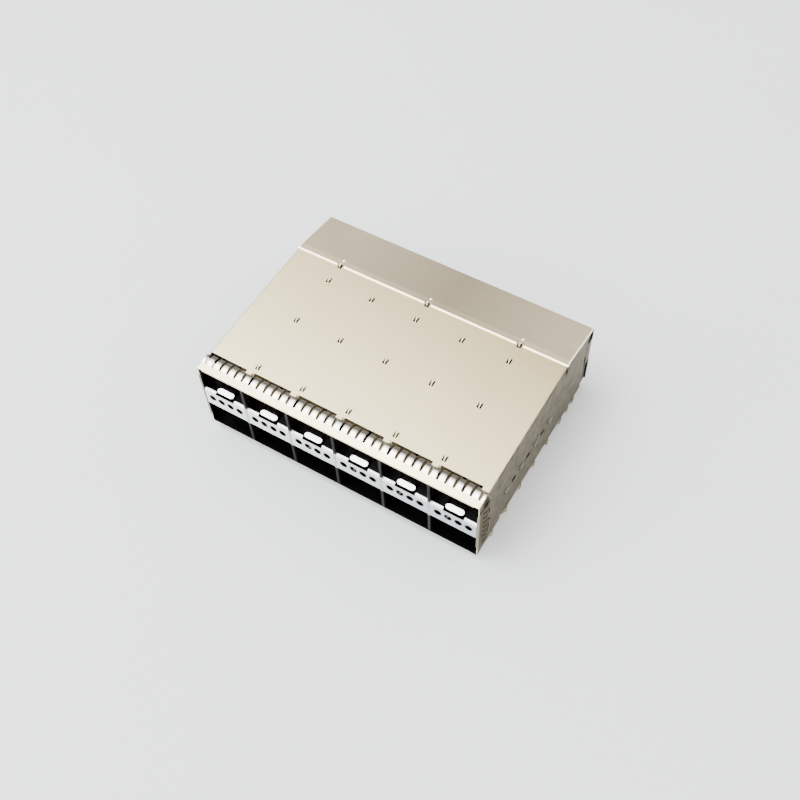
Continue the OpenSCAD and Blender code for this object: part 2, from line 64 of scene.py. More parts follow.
level = math.cos(ABOVE)
away = Vector((math.sin(AROUND) * level, -math.cos(AROUND) * level, math.sin(ABOVE)))
aim = away.to_track_quat("Z", "Y").to_matrix() @ Matrix.Rotation(ROLL, 3, "Z")
camera_data = bpy.data.cameras.new("view")
camera_data.lens = LENS
camera = bpy.data.objects.new("view", camera_data)
bpy.context.scene.collection.objects.link(camera)
camera.matrix_world = Matrix.Translation(TARGET + DISTANCE * away) @ aim.to_4x4()
bpy.context.scene.camera = camera
print("camera at", [round(v, 3) for v in camera.location], "lens", camera_data.lens)

# %% [markdown]
# ## Floor, daylight and softboxes
# Plated sheet has almost no colour of its own: it shows what surrounds it. A pale room, a little
# brighter overhead than at eye level, gives the level top plate its calm tone and leaves the sloping
# cover darker. One softbox hangs over the mouth: only what leans forward, such as the springs, the
# ramps and the latch tongues, throws its light at the eye, so those flash. A low card in front
# lights the faces between the ports. An area light's size sets how soft the highlight is.

# %% Light the studio
EYE_LEVEL, OVERHEAD = (0.62, 0.63, 0.66), (1.0, 0.94, 0.82)
BRIGHTENS_FROM, ROOM_LIGHT = 0.3, 3.2
FLOOR_SIZE = 6.0


def set_input(node, name, value):
    node.inputs[name].default_value = value


def softbox(name, direction, distance, size, power, colour):
    """A square area light that aims at the middle of the cage from one direction."""
    data = bpy.data.lights.new(name, "AREA")
    data.shape, data.size, data.energy, data.color = "SQUARE", size, power, colour
    lamp = bpy.data.objects.new(name, data)
    bpy.context.scene.collection.objects.link(lamp)
    way = Vector(direction).normalized()
    lamp.location = TARGET + distance * way
    lamp.rotation_euler = way.to_track_quat("Z", "Y").to_euler()
    print(name, "at", [round(v, 2) for v in lamp.location])


world = bpy.data.worlds.new("pale room")
bpy.context.scene.world = world
world.use_nodes = True
room = world.node_tree
split = room.nodes.new("ShaderNodeSeparateXYZ")
room.links.new(room.nodes.new("ShaderNodeTexCoord").outputs["Generated"], split.inputs[0])
height = room.nodes.new("ShaderNodeMapRange")
set_input(height, "From Min", BRIGHTENS_FROM)
set_input(height, "From Max", 1.0)
room.links.new(split.outputs["Z"], height.inputs["Value"])
sky = room.nodes.new("ShaderNodeMix")
sky.data_type = "RGBA"
set_input(sky, "A", (*EYE_LEVEL, 1.0))
set_input(sky, "B", (*OVERHEAD, 1.0))
room.links.new(height.outputs["Result"], sky.inputs["Factor"])
room.links.new(sky.outputs["Result"], room.nodes["Background"].inputs["Color"])
set_input(room.nodes["Background"], "Strength", ROOM_LIGHT)
softbox("softbox over the mouth", direction=(-0.31, -0.22, 0.93), distance=0.75, size=0.50, power=9.5,
        colour=(1.0, 0.99, 0.97))
softbox("low front card", direction=(-0.80, -0.80, 0.30), distance=0.80, size=0.45, power=5.0,
        colour=(1.0, 1.0, 1.0))

bpy.ops.mesh.primitive_plane_add(size=FLOOR_SIZE, location=(0, 0, cad_low.z))
floor = bpy.context.object
floor.name = "floor"
print("floor at", round(cad_low.z / MM, 2), "mm")

# %% [markdown]
# ## Small tools for shader nodes
# A procedural material is a little machine of nodes: it takes a place on the surface and works out a
# colour, a roughness or a height there. Placing and wiring each node by hand is long, so these
# functions add one node each and hand back its output. Every number that varies over a surface is
# built from them.

# %% Node tools
def new_group(name, inputs, outputs):
    """An empty node group with named number sockets; an output whose name ends in Normal is a vector."""
    group = bpy.data.node_groups.new(name, "ShaderNodeTree")
    for title, default in inputs:
        item = group.interface.new_socket(title, in_out="INPUT", socket_type="NodeSocketFloat")
        item.default_value = default
    for title in outputs:
        kind = "NodeSocketVector" if title.endswith("Normal") else "NodeSocketFloat"
        group.interface.new_socket(title, in_out="OUTPUT", socket_type=kind)
    return group, group.nodes.new("NodeGroupInput"), group.nodes.new("NodeGroupOutput")


def add(tree, kind, **settings):
    node = tree.nodes.new(kind)
    for key, value in settings.items():
        setattr(node, key, value)
    return node


def feed(tree, target, value):
    """Sets a socket to a number, or links an output to it."""
    if isinstance(value, (int, float)):
        target.default_value = value
    else:
        tree.links.new(value, target)


def calc(tree, operation, *values):
    node = add(tree, "ShaderNodeMath", operation=operation)
    for slot, value in enumerate(values):
        feed(tree, node.inputs[slot], value)
    return node.outputs[0]


def size_of(tree, value):
    """The number without its sign."""
    return calc(tree, "ABSOLUTE", value)


def over(tree, value, limit):
    return calc(tree, "GREATER_THAN", value, limit)


def under(tree, value, limit):
    return calc(tree, "LESS_THAN", value, limit)


def ramp(tree, value, low, high, to_low=0.0, to_high=1.0):
    """Turns the range low..high into to_low..to_high, and holds the ends."""
    node = add(tree, "ShaderNodeMapRange")
    feed(tree, node.inputs["Value"], value)
    for title, number in (("From Min", low), ("From Max", high), ("To Min", to_low), ("To Max", to_high)):
        feed(tree, node.inputs[title], number)
    return node.outputs["Result"]


def fall(tree, value, low, high):
    """1 up to low, 0 from high on."""
    return ramp(tree, value, low, high, 1.0, 0.0)


def both(tree, *masks):
    """A mask that is 1 only where all the masks are."""
    total = masks[0]
    for mask in masks[1:]:
        total = calc(tree, "MULTIPLY", total, mask)
    return total


def place_xyz(tree):
    """The three coordinates of the point, in metres, as separate outputs."""
    split = add(tree, "ShaderNodeSeparateXYZ")
    tree.links.new(add(tree, "ShaderNodeTexCoord").outputs["Object"], split.inputs[0])
    return split.outputs


def facing(tree, axis):
    """How much the surface faces along +X, +Y or +Z, from -1 to 1."""
    split = add(tree, "ShaderNodeSeparateXYZ")
    tree.links.new(add(tree, "ShaderNodeNewGeometry").outputs["Normal"], split.inputs[0])
    return split.outputs["XYZ".index(axis)]


def stretched(tree, factors=(1, 1, 1), offset=(0.0, 0.0, 0.0)):
    """The place on the object, squeezed or drawn out along each axis and shifted."""
    mapping = add(tree, "ShaderNodeMapping")
    set_input(mapping, "Scale", factors)
    set_input(mapping, "Location", offset)
    tree.links.new(add(tree, "ShaderNodeTexCoord").outputs["Object"], mapping.inputs["Vector"])
    return mapping.outputs["Vector"]


def noise(tree, vector, scale, detail=3.0, rough=0.5):
    node = add(tree, "ShaderNodeTexNoise")
    set_input(node, "Scale", scale)
    set_input(node, "Detail", detail)
    set_input(node, "Roughness", rough)
    tree.links.new(vector, node.inputs["Vector"])
    return node.outputs["Fac"]


print("node tools ready")

# %% [markdown]
# ## A group for rolled sheet
# Sheet comes off a mill, so its surface carries fine lines along the rolling direction, slow clouds
# where the plating is thicker, a few handling scratches and the smears that fingers leave. They
# belong to every folded piece, so they are made once for each rolling direction, as a node group. It
# puts out masks and a finished normal, and each material decides what to do with them. Lines are
# noise that is squeezed across the rolling direction, and scratches are the peaks of such a noise.

# %% Build the rolled-sheet groups
LINE_SQUEEZE, SCRATCH_SQUEEZE, SCRATCH_STRETCH = 22.0, 40.0, 3.0
GRAIN_HEIGHT, SCRATCH_DEPTH, SKIN_HEIGHT = 0.6, 0.8, 0.02 * MM


def rolled_sheet_group(name, along):
    """Lines, clouds, scratches and smears of sheet rolled along X, Y or Z."""
    group, given, result = new_group(name, [("Relief", 0.25)],
                                     ["Lines", "Clouds", "Scratches", "Smears", "Skin Normal"])
    fine = stretched(group, [1.0 if axis == along else LINE_SQUEEZE for axis in "XYZ"])
    lines = ramp(group, noise(group, fine, 260.0, detail=4.0, rough=0.6), 0.3, 0.7)
    clouds = ramp(group, noise(group, stretched(group), 55.0, detail=4.0, rough=0.55), 0.3, 0.7)
    skew = stretched(group, [SCRATCH_STRETCH if axis == along else SCRATCH_SQUEEZE for axis in "XYZ"],
                     offset=(0.3, 0.7, 0.1))
    scratches = ramp(group, noise(group, skew, 38.0, detail=2.0, rough=0.4), 0.68, 0.74)
    shifted = stretched(group, offset=(0.5, 0.2, 0.9))
    smears = ramp(group, noise(group, shifted, 110.0, detail=6.0, rough=0.7), 0.45, 0.8)
    grain = noise(group, stretched(group), 5200.0, detail=2.0)
    bumps = calc(group, "ADD", lines, calc(group, "MULTIPLY", grain, GRAIN_HEIGHT))
    relief = add(group, "ShaderNodeBump")
    set_input(relief, "Distance", SKIN_HEIGHT)
    group.links.new(given.outputs["Relief"], relief.inputs["Strength"])
    group.links.new(calc(group, "SUBTRACT", bumps, calc(group, "MULTIPLY", scratches, SCRATCH_DEPTH)),
                    relief.inputs["Height"])
    for title, value in (("Lines", lines), ("Clouds", clouds), ("Scratches", scratches),
                         ("Smears", smears), ("Skin Normal", relief.outputs["Normal"])):
        group.links.new(value, result.inputs[title])
    return group


rolled = {axis: rolled_sheet_group("rolled along " + axis, axis) for axis in "XYZ"}
print("groups:", [g.name for g in rolled.values()])

# %% [markdown]
# ## A group for the painted dark inside
# The ports are deep and narrow, with black housings at their ends, so their walls look almost black
# from outside. Light alone would need very many bounces to show that well, and a part that is passed
# on without its light would lose it. So a group marks every surface that faces the inside of the
# cage, and the materials paint near-black shade there. The sheet is only a quarter of a millimetre
# thick, and the mark changes halfway through it. Behind the windows under the springs daylight falls
# in from above, so the painted shade fades out there.

# %% Build the inside group
HALF_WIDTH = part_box("top_shell")[1].x
TOP_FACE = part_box("top_shell")[1].z
SEAM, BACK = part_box("rear_cover")[0].y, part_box("rear_cover")[1].y
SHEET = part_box("bottom_plate")[1].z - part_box("bottom_plate")[0].z
LAP_END = SEAM + 2.2 * MM
COVER_DROP, COVER_RUN = 2.55 * MM, 14.5 * MM
PORT_FLOOR = 16.2 * MM
FRONT_DEPTH = 0.75 * MM
DAYLIGHT_FROM, DAYLIGHT_TO = (5.2 * MM, 6.2 * MM), (11.0 * MM, 18.0 * MM)
SHADE_LEFT = 0.05
EDGE = 0.02 * MM


def painted_inside_shade_group():
    """Painted shade mask: 1 on surfaces inside the cage that lie behind a given depth, 0 outside."""
    group, given, result = new_group("painted shade inside the cage", [("Front depth", FRONT_DEPTH)], ["Inside"])
    x, y, z = place_xyz(group)
    behind = calc(group, "MAXIMUM", calc(group, "SUBTRACT", y, LAP_END), 0.0)
    roof = calc(group, "ADD", TOP_FACE - SHEET / 2, calc(group, "MULTIPLY", over(group, behind, 0.0), SHEET))
    roof = calc(group, "SUBTRACT", roof, calc(group, "MULTIPLY", behind, COVER_DROP / COVER_RUN))
    mask = both(group,
                fall(group, size_of(group, x), HALF_WIDTH - SHEET / 2 - EDGE, HALF_WIDTH - SHEET / 2),
                ramp(group, z, SHEET / 2, SHEET / 2 + EDGE),
                under(group, z, roof),
                under(group, y, BACK - SHEET / 2),
                over(group, y, given.outputs["Front depth"]))
    daylight = both(group, ramp(group, y, *DAYLIGHT_FROM), fall(group, y, *DAYLIGHT_TO),
                    over(group, z, PORT_FLOOR - 0.05 * MM))
    mask = both(group, mask, ramp(group, daylight, 0.0, 1.0, 1.0, SHADE_LEFT))
    group.links.new(mask, result.inputs["Inside"])
    return group


inside = painted_inside_shade_group()
print("sheet", round(SHEET / MM, 2), "mm, top face at", round(TOP_FACE / MM, 2), "mm, half width",
      round(HALF_WIDTH / MM, 2), "mm, seam at", round(SEAM / MM, 2), "mm")

# %% [markdown]
# ## A group for cut edges
# Where sheet is stamped or folded, its plating is thin or burnished and the edge catches a line of
# light. Blender's Bevel node gives the normal that a slightly rounded edge would have. Where that
# differs from the flat normal there is an edge, so comparing the two gives a mask for it. The materials
# paint the edge lighter with it, partly for the burnish and partly as a painted highlight.

# %% Build the edge group
EDGE_RADIUS = 0.06 * MM
AT_EDGE, ON_FLAT = 0.80, 0.995


def cut_edge_group():
    """1 along edges, 0 on flats; the dot product of the two normals tells them apart."""
    group, given, result = new_group("cut edges", [("Radius", EDGE_RADIUS)], ["Edge"])
    bevel = add(group, "ShaderNodeBevel", samples=4)
    group.links.new(given.outputs["Radius"], bevel.inputs["Radius"])
    flat = add(group, "ShaderNodeNewGeometry")
    dot = add(group, "ShaderNodeVectorMath", operation="DOT_PRODUCT")
    group.links.new(bevel.outputs["Normal"], dot.inputs[0])
    group.links.new(flat.outputs["Normal"], dot.inputs[1])
    group.links.new(fall(group, dot.outputs["Value"], AT_EDGE, ON_FLAT), result.inputs["Edge"])
    return group


cut_edges = cut_edge_group()
print("edge group:", cut_edges.name)

# %% [markdown]
# ## Plated sheet
# One recipe serves all folded pieces. The base colour drifts between two tints with the clouds, the
# lines and smears raise and lower the roughness, scratches show the brighter metal, and cut edges
# are lighter, partly for burnish and partly as a painted highlight. A piece may add zones of its own,
# each a mask and the tint that it takes there, before painted shade darkens the inside. Bare plating
# is fully metallic. So is the painted dark zone, also on a piece that is less metallic elsewhere,
# because a dark surface that isn't metal would show a pale sheen.

# %% Write the sheet recipe
DEEP_SHADE = (0.012, 0.012, 0.014)
SCRATCH_SHARE, EDGE_SHARE = 0.16, 0.7


def mix_tint(tree, factor, colour_a, colour_b):
    """Mixes two colours; each is three numbers or an output."""
    node = add(tree, "ShaderNodeMix", data_type="RGBA")
    for title, colour in (("A", colour_a), ("B", colour_b)):
        if isinstance(colour, tuple):
            set_input(node, title, (*colour, 1.0))
        else:
            tree.links.new(colour, node.inputs[title])
    tree.links.new(factor, node.inputs["Factor"])
    return node.outputs["Result"]


def blank_material(name):
    material = bpy.data.materials.new(name)
    material.use_nodes = True
    return material, material.node_tree, material.node_tree.nodes["Principled BSDF"]


def plated_sheet(name, along, dull, bright, edge, rough=(0.36, 0.5), relief=0.25, front=FRONT_DEPTH,
                 zones=(), lit=None, dark=None, metallic=1.0, crown=None, glance=(1.0, 1.0, 1.0)):
    """Plated sheet. Zones are (mask maker, tint) pairs; lit marks what stays out of the painted shade and
    dark what joins it; crown makes a height in metres; glance is the tint seen at grazing angles."""
    material, tree, shader = blank_material(name)
    skin = add(tree, "ShaderNodeGroup", node_tree=rolled[along])
    set_input(skin, "Relief", relief)
    wear = add(tree, "ShaderNodeGroup", node_tree=cut_edges)
    depth = add(tree, "ShaderNodeGroup", node_tree=inside)
    set_input(depth, "Front depth", front)
    colour = mix_tint(tree, skin.outputs["Clouds"], dull, bright)
    colour = mix_tint(tree, calc(tree, "MULTIPLY", skin.outputs["Scratches"], SCRATCH_SHARE), colour, edge)
    for mask_of, tint in zones:
        colour = mix_tint(tree, mask_of(tree), colour, tint)
    # Edges are made lighter: partly burnish, partly a painted highlight.
    colour = mix_tint(tree, calc(tree, "MULTIPLY", wear.outputs["Edge"], EDGE_SHARE), colour, edge)
    # Painted shade: near-black colour is mixed in wherever the inside mask marks a surface.
    shade = depth.outputs["Inside"]
    if lit is not None:
        shade = both(tree, shade, calc(tree, "SUBTRACT", 1.0, lit(tree)))
    if dark is not None:
        shade = calc(tree, "MAXIMUM", shade, dark(tree))
    tree.links.new(mix_tint(tree, shade, colour, DEEP_SHADE), shader.inputs["Base Color"])
    grain = calc(tree, "ADD", calc(tree, "MULTIPLY", skin.outputs["Lines"], 0.5),
                 calc(tree, "MULTIPLY", skin.outputs["Smears"], 0.5))
    tree.links.new(ramp(tree, grain, 0.0, 1.0, *rough), shader.inputs["Roughness"])
    tree.links.new(calc(tree, "MAXIMUM", shade, metallic), shader.inputs["Metallic"])
    set_input(shader, "Specular Tint", (*glance, 1.0))
    normal = skin.outputs["Skin Normal"]
    if crown is not None:
        bend = add(tree, "ShaderNodeBump")
        set_input(bend, "Distance", 1.0)
        tree.links.new(normal, bend.inputs["Normal"])
        tree.links.new(crown(tree), bend.inputs["Height"])
        normal = bend.outputs["Normal"]
    tree.links.new(normal, shader.inputs["Normal"])
    return material


def dress(material, *names):
    for name in names:
        cad = nodes[name]
        cad.data.materials.clear()
        cad.data.materials.append(material)


def named(prefix, but=None):
    """Names of the nodes that start with a prefix, without those that hold another word."""
    return sorted(n for n in nodes if n.startswith(prefix) and not (but and but in n))


print("recipe ready")

# %% [markdown]
# ## A group for the side walls' painted shade
# The side walls are painted duller and browner than the top: the taupe tint is painted shade, for
# walls that turn away from the light, and random darker blotches lie on it. Shell and rear cover are
# folded down into the same walls, so both take the tint from one group. A surface belongs to a wall
# when its normal points across the cage and it lies at the outer width.

# %% Build the side shade group
WALL_REACH = 1.0 * MM
BLOTCH_STRENGTH = 0.8


def side_shade_group():
    """The outer side walls, where shade is painted, and the blotches on them."""
    group, _, result = new_group("side wall painted shade", [], ["Side", "Blotches"])
    x, _, _ = place_xyz(group)
    side = both(group, ramp(group, size_of(group, facing(group, "X")), 0.25, 0.85),
                over(group, size_of(group, x), HALF_WIDTH - WALL_REACH))
    drops = noise(group, stretched(group, offset=(0.1, 0.4, 0.6)), 330.0, detail=4.0, rough=0.6)
    group.links.new(side, result.inputs["Side"])
    group.links.new(both(group, side, ramp(group, drops, 0.42, 0.68, 0.0, BLOTCH_STRENGTH)),
                    result.inputs["Blotches"])
    return group


side_shade = side_shade_group()


# Painted shade: the side walls take a dark taupe tint.
def side_wall_shade_mask(tree):
    return add(tree, "ShaderNodeGroup", node_tree=side_shade).outputs["Side"]


def side_blotch_mask(tree):
    return add(tree, "ShaderNodeGroup", node_tree=side_shade).outputs["Blotches"]


print("side shade group:", side_shade.name)

# %% [markdown]
# ## Shell, bottom plate and dividers
# They are folded or cut from the same tin-plated sheet. The top plate is cream, and its colour is
# painted darker towards the back, a painted reflection of the dimmer part of the room that it mirrors
# there. The strip under the spring fingers and the cut faces inside the locking slots are seen only
# through narrow gaps, so painted shade makes them dark. The dividers' tab heads, which are turned
# above the top plate, are painted near-white as a painted highlight. Each zone is a mask made from
# the place and facing of the surface, so no solid has to be cut.

# %% Dress shell, bottom plate and dividers
CREAM, CREAM_DULL, CREAM_DIM_REFLECTION = (0.97, 0.87, 0.57), (0.93, 0.83, 0.53), (0.45, 0.38, 0.22)
TAUPE_SHADE, TAUPE_DARK, BURNISH_AND_HIGHLIGHT = (0.145, 0.128, 0.100), (0.035, 0.030, 0.022), (0.99, 0.94, 0.81)
GLANCE = (0.72, 0.69, 0.63)
IN_FRONT = -1.0 * MM
SLOT_LOW, SLOT_HIGH = 9.9 * MM, 11.8 * MM
FINGER_TIP = (5.1 * MM, 5.4 * MM)


def level_mask(tree):
    return ramp(tree, facing(tree, "Z"), 0.5, 0.9)


# Painted reflection: the top plate's colour darkens towards the back.
def painted_rear_dimming_mask(tree):
    x, y, _ = place_xyz(tree)
    drift = calc(tree, "ADD", y, calc(tree, "MULTIPLY", x, 0.25))
    return ramp(tree, drift, -5.0 * MM, SEAM + 10.0 * MM)


def under_springs_shade_mask(tree):
    """The strip of top plate that the spring fingers lie over, seen only through their slits; painted shade.
    """
    return both(tree, fall(tree, place_xyz(tree)[1], *FINGER_TIP), level_mask(tree))


def outside_mask(tree):
    """What lies in or outside the side walls' sheet."""
    return over(tree, size_of(tree, place_xyz(tree)[0]), HALF_WIDTH - 0.30 * MM)


def slot_edge_shade_mask(tree):
    """The cut faces inside the locking slots of the side walls, painted into the shade."""
    z = place_xyz(tree)[2]
    return both(tree, outside_mask(tree), over(tree, z, SLOT_LOW), under(tree, z, SLOT_HIGH),
                under(tree, size_of(tree, facing(tree, "X")), 0.5))


# Painted highlight: the dividers' tab heads above the top plate are tinted near-white.
def tab_head_highlight_mask(tree):
    return over(tree, place_xyz(tree)[2], TOP_FACE - SHEET / 2)


def under_slots_mask(tree):
    """The upper rim of a divider behind the fingers, which daylight reaches through the tab slots, so it is
    kept out of the painted shade.
    """
    _, y, z = place_xyz(tree)
    return both(tree, ramp(tree, z, TOP_FACE - 2.2 * MM, TOP_FACE - 1.2 * MM),
                over(tree, y, 7.0 * MM), under(tree, y, SEAM - 3.0 * MM))


shell_sheet = plated_sheet("plated shell sheet", "Y", CREAM_DULL, CREAM, BURNISH_AND_HIGHLIGHT,
                           zones=[(painted_rear_dimming_mask, CREAM_DIM_REFLECTION), (side_wall_shade_mask, TAUPE_SHADE),
                                  (side_blotch_mask, TAUPE_DARK), (under_springs_shade_mask, TAUPE_SHADE)],
                           dark=slot_edge_shade_mask, glance=GLANCE)
plate_sheet = plated_sheet("bottom plate sheet", "Y", CREAM_DULL, CREAM, BURNISH_AND_HIGHLIGHT, front=IN_FRONT)
divider_sheet = plated_sheet("divider sheet", "Y", CREAM_DULL, CREAM, BURNISH_AND_HIGHLIGHT,
                             zones=[(tab_head_highlight_mask, BURNISH_AND_HIGHLIGHT)], lit=under_slots_mask)
dress(shell_sheet, "top_shell")
dress(plate_sheet, "bottom_plate")
dress(divider_sheet, *named("divider_", "clip"))
print("dressed shell, bottom plate and", len(named("divider_", "clip")), "dividers")

# %% [markdown]
# ## Rear cover
# The cover is cut across the roll and slopes away, and painted shade makes it darker: its colours are
# much darker than the top plate's, with a dull cloud in the middle. Its front edge is coined down over
# the top plate: a bump leans the normal forward there, and a painted highlight makes the edge shine
# as one line across the cage. Its side edges and the small bosses behind the seam carry painted
# highlights too.

# %% Dress the rear cover
# Painted shade: the cover's colours are much darker than the top plate's.
COVER_SHADED_DULL, COVER_SHADED_BRIGHT, COVER_CLOUD = (0.38, 0.33, 0.225), (0.42, 0.365, 0.26), (0.245, 0.21, 0.145)
LAP_HIGHLIGHT = (0.92, 0.83, 0.62)
CLOUD_X, CLOUD_REACH, CLOUD_STRENGTH = 4.0 * MM, 34.0 * MM, 0.9
COINED_LENGTH, COINED_DEPTH = 0.55 * MM, 0.21 * MM
COVER_TOP = TOP_FACE + SHEET


def cover_cloud_mask(tree):
    aside = size_of(tree, calc(tree, "SUBTRACT", place_xyz(tree)[0], CLOUD_X))
    return ramp(tree, aside, 0.0, CLOUD_REACH, CLOUD_STRENGTH, 0.0)


# Painted highlight along the cover's front edge.
def lap_highlight_mask(tree):
    return fall(tree, place_xyz(tree)[1], SEAM + 0.40 * MM, SEAM + 0.60 * MM)


def coined_lap(tree):
    """The cover's front edge is pressed down over the lap, so it leans forward."""
    return ramp(tree, place_xyz(tree)[1], SEAM, SEAM + COINED_LENGTH, 0.0, COINED_DEPTH)


# Painted highlight along the cover's side edges.
def cover_side_highlight_mask(tree):
    aside = size_of(tree, place_xyz(tree)[0])
    return both(tree, ramp(tree, aside, HALF_WIDTH - 0.45 * MM, HALF_WIDTH - 0.30 * MM), level_mask(tree))


def boss_highlight_mask(tree):
    """The bosses, above the level of the lap, for a painted highlight."""
    return ramp(tree, place_xyz(tree)[2], COVER_TOP + 0.03 * MM, COVER_TOP + 0.08 * MM)


cover_sheet = plated_sheet("plated cover sheet", "X", COVER_SHADED_DULL, COVER_SHADED_BRIGHT, BURNISH_AND_HIGHLIGHT,
                           zones=[(cover_cloud_mask, COVER_CLOUD), (side_wall_shade_mask, TAUPE_SHADE),
                                  (side_blotch_mask, TAUPE_DARK), (lap_highlight_mask, LAP_HIGHLIGHT),
                                  (cover_side_highlight_mask, BURNISH_AND_HIGHLIGHT), (boss_highlight_mask, BURNISH_AND_HIGHLIGHT)],
                           crown=coined_lap, glance=GLANCE)
dress(cover_sheet, "rear_cover")
print("dressed the rear cover, seam at", round(SEAM / MM, 2), "mm")

# %% [markdown]
# ## Separators
# The face between two ports is bright nickel-plated sheet, painted darker towards +X as painted shade,
# and its upper fold runs into a ramp that a painted highlight makes white. The level tip of each latch
# tongue is painted almost white, also a painted highlight, while the rest of the sheet lies in the
# painted shade of the port, brown behind the mouth and on the tabs outside the side walls. So the tip
# is kept out of the painted shade, and the indicator holes with rings of painted shade and the notch
# under the tip join it. On the real piece the tip is slightly crowned: a bump that falls off towards
# the front edge leans its normal forward, and it catches the softbox over the mouth.

# %% Dress the separators
FACE_DULL, FACE_BRIGHT, FACE_SHADED = (0.80, 0.82, 0.83), (0.90, 0.91, 0.91), (0.42, 0.46, 0.48)
WHITE_RUB_AND_HIGHLIGHT, BROWN_SHADE, TAB_SHADE = (0.98, 0.98, 0.97), (0.42, 0.35, 0.24), (0.24, 0.23, 0.21)
PITCH = 14.25 * MM
LAMP_Z, LAMP_R, LAMP_PITCH = 13.0 * MM, 0.975 * MM, 3.0 * MM
TIP_FRONT, TIP_END, CROWN_HEIGHT = 0.2 * MM, 1.8 * MM, 0.62 * MM
NOTCH_HALF, NOTCH_BACK = 3.05 * MM, 4.0 * MM


def above_floor_mask(tree):
    """The tongues' tips stand higher than the floor of the upper ports."""
    return ramp(tree, place_xyz(tree)[2], PORT_FLOOR + 0.3 * MM, PORT_FLOOR + 0.5 * MM)


# Painted highlight on the tongues' tips.
def tongue_tip_highlight_mask(tree):
    return both(tree, fall(tree, place_xyz(tree)[1], TIP_END, TIP_END + 0.10 * MM), above_floor_mask(tree))


def tongue_crown(tree):
    """How high the crowned tip stands: lowest at its front edge."""
    return both(tree, ramp(tree, place_xyz(tree)[1], TIP_FRONT, TIP_END, 0.0, CROWN_HEIGHT),
                above_floor_mask(tree))


# Painted highlight on the ramp above each face.
def white_ramp_highlight_mask(tree):
    _, y, z = place_xyz(tree)
    return both(tree, ramp(tree, z, PORT_FLOOR - 1.0 * MM, PORT_FLOOR - 0.7 * MM),
                fall(tree, y, 0.80 * MM, 0.90 * MM))


def from_column(tree, x):
    """Distance from the middle of the nearest column of ports."""
    beside = calc(tree, "PINGPONG", calc(tree, "ADD", x, 3 * PITCH), PITCH / 2)
    return calc(tree, "SUBTRACT", PITCH / 2, beside)


def lamp_rim_shade_mask(tree):
    """Each indicator hole and a ring of painted shade round it, for its edge, which is drawn inwards and
    lies in shade.
    """
    x, _, z = place_xyz(tree)
    aside = from_column(tree, x)
    off = calc(tree, "SUBTRACT", LAMP_PITCH / 2, calc(tree, "PINGPONG", aside, LAMP_PITCH / 2))
    up = calc(tree, "SUBTRACT", z, LAMP_Z)
    squares = calc(tree, "ADD", calc(tree, "MULTIPLY", off, off), calc(tree, "MULTIPLY", up, up))
    rim = fall(tree, calc(tree, "SQRT", squares), LAMP_R + 0.10 * MM, LAMP_R + 0.30 * MM)
    return both(tree, rim, under(tree, aside, 2 * LAMP_PITCH))


def notch_shade_mask(tree):
    """The notch under each tongue's tip and the front edge of the tip, painted into the shade."""
    x, y, z = place_xyz(tree)
    return both(tree, under(tree, y, NOTCH_BACK), under(tree, from_column(tree, x), NOTCH_HALF),
                ramp(tree, z, PORT_FLOOR - 0.75 * MM, PORT_FLOOR - 0.60 * MM),
                under(tree, z, PORT_FLOOR + 0.8 * MM))


def hollow_shade_mask(tree):
    return calc(tree, "MAXIMUM", notch_shade_mask(tree), lamp_rim_shade_mask(tree))


def behind_mouth_shade_mask(tree):
    """The plates behind the mouth, painted brown as painted shade, like the side walls."""
    return ramp(tree, place_xyz(tree)[1], 4.0 * MM, 5.0 * MM)


# Painted shade: the faces darken towards +X.
def face_shade_drift_mask(tree):
    return ramp(tree, place_xyz(tree)[0], -25.0 * MM, 45.0 * MM)


face_sheet = plated_sheet("separator sheet", "X", FACE_DULL, FACE_BRIGHT, WHITE_RUB_AND_HIGHLIGHT, rough=(0.26, 0.40),
                          # Painted shade: brown behind the mouth, dark grey on the tabs outside the side
                          # walls.
                          zones=[(face_shade_drift_mask, FACE_SHADED), (tongue_tip_highlight_mask, WHITE_RUB_AND_HIGHLIGHT),
                                 (white_ramp_highlight_mask, WHITE_RUB_AND_HIGHLIGHT), (behind_mouth_shade_mask, BROWN_SHADE),
                                 (outside_mask, TAB_SHADE)],
                          lit=tongue_tip_highlight_mask, dark=hollow_shade_mask, metallic=0.6, crown=tongue_crown)
dress(face_sheet, *named("separator_"))
print("separators:", len(named("separator_")))

# %% [markdown]
# ## Spring strip over the mouth
# Spring strips are thinner and harder than the cage, and polished, so each finger of the upper strip
# carries one clear flash where it leans forward. The plain band in front of the fingers was rolled
# over the edge of the sheet, so a bump leans it forward. Behind its crest a finger dives into its
# window, where painted shade turns it brown, and its edges roll down beside the slits, where painted
# shade darkens them too.

# %% Dress the upper spring strip
SPRING_DULL, SPRING_BRIGHT, BAND_CREAM = (0.88, 0.84, 0.75), (0.95, 0.91, 0.82), (0.95, 0.85, 0.58)
SHADE_BROWN = (0.065, 0.056, 0.040)
POLISHED = (0.28, 0.42)
CREST, BAND_DEPTH, FINGER_PITCH = 3.75 * MM, 2.1 * MM, PITCH / 6
BAND_LEAN = 0.14


# Painted shade: fingers turn brown behind their crest.
def dive_shade_mask(tree):
    return ramp(tree, place_xyz(tree)[1], CREST, CREST + 0.6 * MM, 0.0, 0.95)


def slit_shade_mask(tree):
    """The fingers' edges roll down beside each slit and turn away from the light; painted shade darkens
    them.
    """
    x, y, _ = place_xyz(tree)
    off = calc(tree, "PINGPONG", calc(tree, "ADD", x, 3 * PITCH + FINGER_PITCH / 2), FINGER_PITCH / 2)
    return both(tree, fall(tree, off, 0.36 * MM, 0.62 * MM),
                ramp(tree, y, BAND_DEPTH + 0.1 * MM, BAND_DEPTH + 0.9 * MM))


def plain_band_mask(tree):
    return fall(tree, place_xyz(tree)[1], BAND_DEPTH - 0.1 * MM, BAND_DEPTH + 0.1 * MM)


